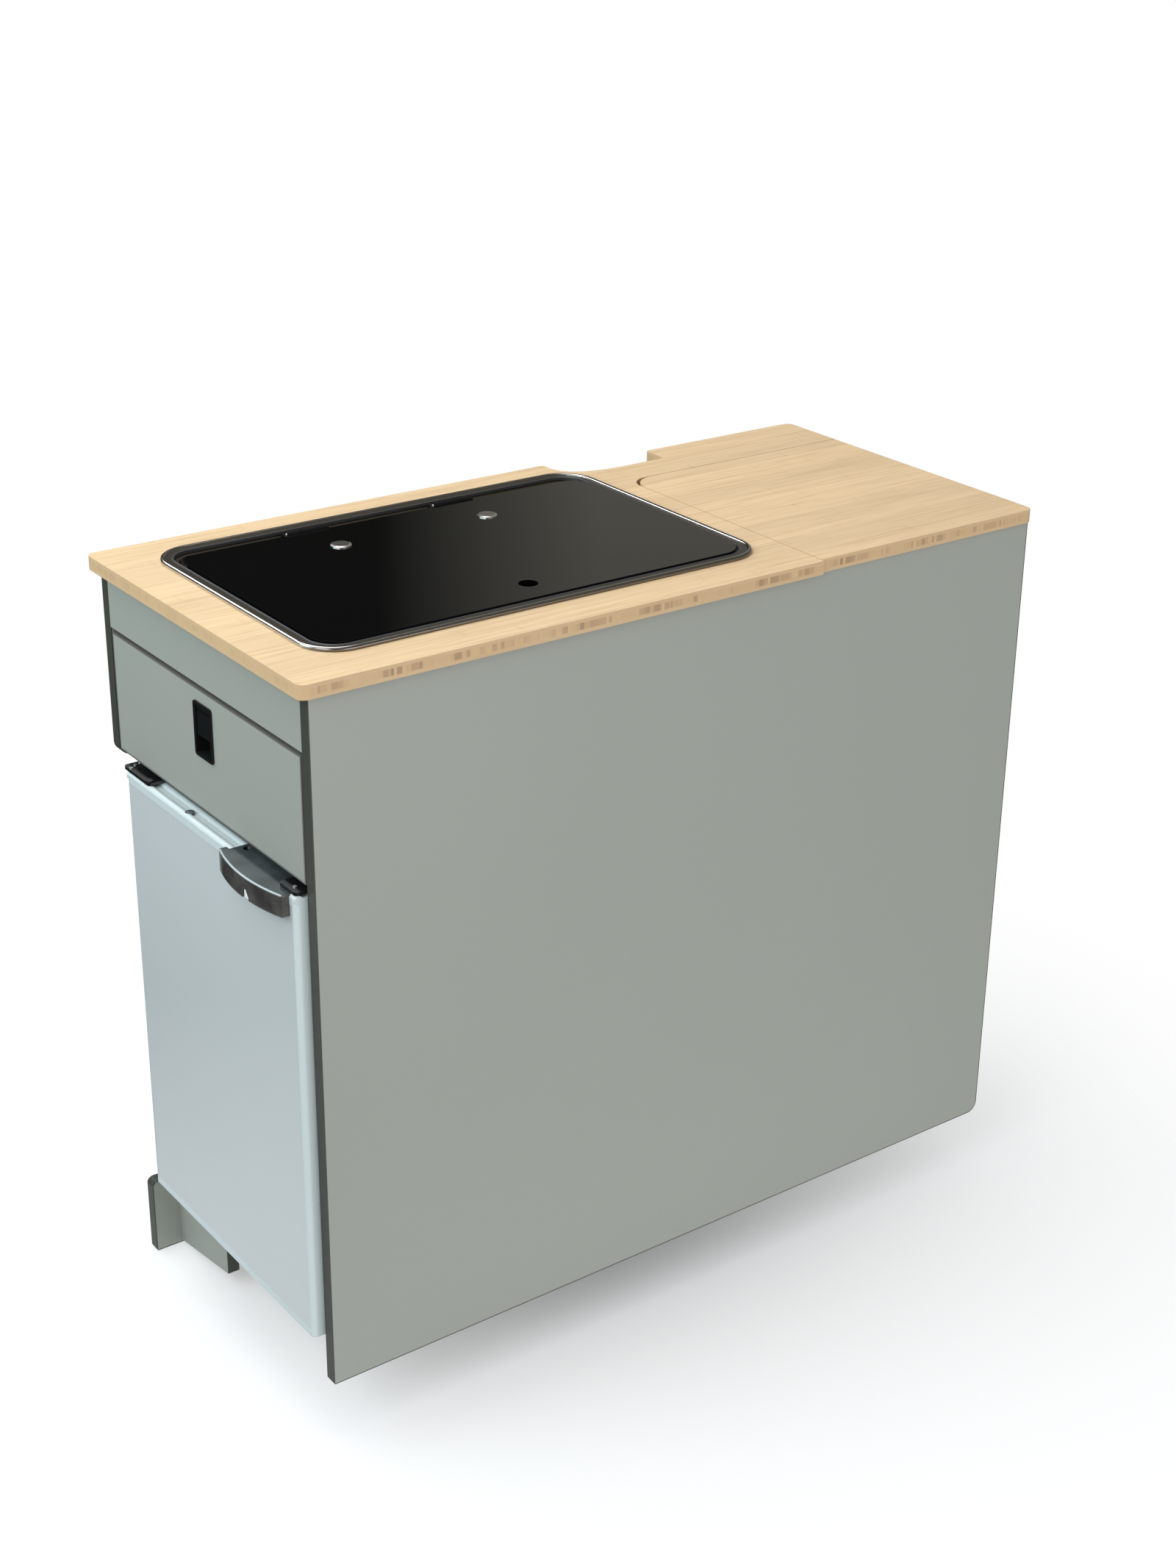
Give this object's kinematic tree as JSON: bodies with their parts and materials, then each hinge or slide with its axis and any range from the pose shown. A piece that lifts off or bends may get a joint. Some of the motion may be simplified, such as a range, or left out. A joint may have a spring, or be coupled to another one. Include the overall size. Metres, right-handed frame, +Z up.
{
  "type": "campervan kitchen unit",
  "caption": "Campervan kitchen cabinet with bamboo worktop, sink and hob under a glass lid, drawer over a built-in fridge, and a top-opening locker beside a pillar notch.",
  "frame": {"origin": "middle of the unit's footprint, level with its lowest foot", "axes": "+X along the unit from the fridge end to the locker end, +Y from the aisle side to the van wall, +Z up"},
  "size_m": [1.023, 0.475, 0.9225],
  "materials": {
    "aisle_side_panel": "grey-green laminate on ply",
    "wall_side_panel": "grey-green laminate on ply",
    "carcass_edging": "charcoal edge band",
    "divider_panel": "grey-green laminate on ply",
    "locker_back_panel": "grey-green laminate on ply",
    "end_panel": "grey-green laminate on ply",
    "base_shelf": "grey-green laminate on ply",
    "locker_floor": "grey-green laminate on ply",
    "plinth_board": "grey-green laminate on ply",
    "drawer_shelf": "grey-green laminate on ply",
    "fascia_strip": "grey-green laminate on ply",
    "worktop": "oiled bamboo",
    "hatch_rest_batten": "bare ply",
    "floor_brackets": "zinc plated",
    "hatch_lid": "oiled bamboo",
    "hatch_hinge_fixed_cups": "zinc plated",
    "hatch_hinge_lid_cups": "zinc plated",
    "hatch_hinge_links": "stainless",
    "drawer_front": "grey-green laminate on ply",
    "drawer_front_edging": "charcoal edge band",
    "drawer_boards": "bare ply",
    "drawer_bottom": "bare ply",
    "runner_fixed_rails": "zinc plated",
    "runner_middle_rails": "zinc plated",
    "runner_drawer_rails": "zinc plated",
    "latch_bezel": "black",
    "latch_paddle": "black",
    "latch_bolt": "zinc plated",
    "fridge_case": "coated steel sheet",
    "fridge_foam": null,
    "fridge_liner": "white",
    "fridge_shelf": "white coated wire",
    "evaporator": "rolled sheet",
    "thermostat_knob": "black",
    "compressor": "black",
    "fridge_brackets": "black",
    "fridge_screws": "polished",
    "fridge_door_shell": "white, satin gloss",
    "fridge_door_liner": "white",
    "fridge_gasket": "light grey",
    "fridge_decor_panel": "bluish grey, glossy",
    "fridge_handle": "smoke grey",
    "fridge_handle_lever": "black",
    "sink_hob_tray": "stainless",
    "sink_bowl": "stainless",
    "lid_seal": "black",
    "glass_lid": "near-black, toughened",
    "glass_hinge_arms": "stainless",
    "glass_hinge_brackets": "stainless",
    "glass_caps": "polished",
    "burners": "die cast",
    "burner_caps": "black enamel",
    "pan_supports": "black enamel",
    "hob_knob_large": "black",
    "hob_knob_small": "black",
    "gas_rail": "plain",
    "tap_base": "polished",
    "tap_spout": "polished",
    "tap_lever": "polished",
    "sink_waste": "stainless"
  },
  "bodies": {
    "carcass": {"aisle_side_panel": "aisle_side_panel", "wall_side_panel": "wall_side_panel", "carcass_edging": "carcass_edging", "divider_panel": "divider_panel", "locker_back_panel": "locker_back_panel", "end_panel": "end_panel", "base_shelf": "base_shelf", "locker_floor": "locker_floor", "plinth_board": "plinth_board", "drawer_shelf": "drawer_shelf", "fascia_strip": "fascia_strip", "worktop": "worktop", "hatch_rest_batten": "hatch_rest_batten", "floor_brackets": "floor_brackets", "hatch_hinge_fixed_cups": "hatch_hinge_fixed_cups", "runner_fixed_rails": "runner_fixed_rails", "fridge_case": "fridge_case", "fridge_foam": "fridge_foam", "fridge_liner": "fridge_liner", "fridge_shelf": "fridge_shelf", "evaporator": "evaporator", "compressor": "compressor", "fridge_brackets": "fridge_brackets", "fridge_screws": "fridge_screws", "sink_hob_tray": "sink_hob_tray", "sink_bowl": "sink_bowl", "lid_seal": "lid_seal", "glass_hinge_brackets": "glass_hinge_brackets", "burners": "burners", "burner_caps": "burner_caps", "pan_supports": "pan_supports", "gas_rail": "gas_rail", "tap_base": "tap_base", "sink_waste": "sink_waste"},
    "hatch": {"hatch_lid": "hatch_lid", "hatch_hinge_lid_cups": "hatch_hinge_lid_cups"},
    "hatch_links": {"hatch_hinge_links": "hatch_hinge_links"},
    "drawer": {"drawer_front": "drawer_front", "drawer_front_edging": "drawer_front_edging", "drawer_boards": "drawer_boards", "drawer_bottom": "drawer_bottom", "runner_drawer_rails": "runner_drawer_rails", "latch_bezel": "latch_bezel"},
    "runner_middles": {"runner_middle_rails": "runner_middle_rails"},
    "paddle": {"latch_paddle": "latch_paddle"},
    "bolt": {"latch_bolt": "latch_bolt"},
    "fridge_door": {"fridge_door_shell": "fridge_door_shell", "fridge_door_liner": "fridge_door_liner", "fridge_gasket": "fridge_gasket", "fridge_decor_panel": "fridge_decor_panel", "fridge_handle": "fridge_handle"},
    "handle_lever": {"fridge_handle_lever": "fridge_handle_lever"},
    "thermostat": {"thermostat_knob": "thermostat_knob"},
    "glass": {"glass_lid": "glass_lid", "glass_hinge_arms": "glass_hinge_arms", "glass_caps": "glass_caps"},
    "large_knob": {"hob_knob_large": "hob_knob_large"},
    "small_knob": {"hob_knob_small": "hob_knob_small"},
    "spout": {"tap_spout": "tap_spout"},
    "mixer": {"tap_lever": "tap_lever"}
  },
  "joints": [
    {"name": "hatch_turn", "type": "hinge", "parent": "carcass", "child": "hatch", "pos_m": [0.3435, 0.127, 0.914], "axis": [-1, 0, 0], "range_deg": [0, 90]},
    {"name": "hatch_link_turn", "type": "hinge", "parent": "carcass", "child": "hatch_links", "pos_m": [0.3435, 0.127, 0.914], "axis": [-1, 0, 0], "range_deg": [0, 45]},
    {"name": "drawer_slide", "type": "slide", "parent": "carcass", "child": "drawer", "axis": [-1, 0, 0], "range_m": [0, 0.3]},
    {"name": "runner_middle_slide", "type": "slide", "parent": "carcass", "child": "runner_middles", "axis": [-1, 0, 0], "range_m": [0, 0.15]},
    {"name": "latch_paddle_turn", "type": "hinge", "parent": "drawer", "child": "paddle", "pos_m": [-0.4755, -0.0045, 0.806], "axis": [0, 1, 0], "range_deg": [0, 25]},
    {"name": "latch_bolt_slide", "type": "slide", "parent": "drawer", "child": "bolt", "axis": [0, 0, -1], "range_m": [0, 0.006], "stiffness_N_per_m": 100, "springref_m": -0.01},
    {"name": "fridge_door_turn", "type": "hinge", "parent": "carcass", "child": "fridge_door", "pos_m": [-0.4795, 0.1555, 0.40625], "axis": [0, 0, -1], "range_deg": [0, 95]},
    {"name": "handle_lever_turn", "type": "hinge", "parent": "fridge_door", "child": "handle_lever", "pos_m": [-0.4955, -0.15, 0.6645], "axis": [0, 1, 0], "range_deg": [0, 10], "stiffness_Nm_per_rad": 0.1, "springref_deg": -17.19},
    {"name": "thermostat_turn", "type": "hinge", "parent": "carcass", "child": "thermostat", "pos_m": [-0.3265, -0.1575, 0.578], "axis": [0, 1, 0], "range_deg": [-135, 135]},
    {"name": "glass_lid_turn", "type": "hinge", "parent": "carcass", "child": "glass", "pos_m": [-0.1645, 0.1615, 0.9185], "axis": [-1, 0, 0], "range_deg": [0, 100]},
    {"name": "large_knob_turn", "type": "hinge", "parent": "carcass", "child": "large_knob", "pos_m": [-0.3805, -0.1215, 0.874], "axis": [0, 0, 1], "range_deg": [0, 180]},
    {"name": "small_knob_turn", "type": "hinge", "parent": "carcass", "child": "small_knob", "pos_m": [-0.3305, -0.1215, 0.874], "axis": [0, 0, 1], "range_deg": [0, 180]},
    {"name": "spout_turn", "type": "hinge", "parent": "carcass", "child": "spout", "pos_m": [-0.014, 0.1405, 0.894], "axis": [0, 0, 1], "range_deg": [-50, 50]},
    {"name": "mixer_turn", "type": "hinge", "parent": "carcass", "child": "mixer", "pos_m": [-0.014, 0.1405, 0.903], "axis": [0, 0, 1], "range_deg": [0, 60]}
  ],
  "couplings": [
    {"joint": "hatch_link_turn", "follows": "hatch_turn", "ratio": 0.5},
    {"joint": "runner_middle_slide", "follows": "drawer_slide", "ratio": 0.5},
    {"joint": "latch_paddle_turn", "follows": "latch_bolt_slide", "rad_per_m": 68.97}
  ]
}
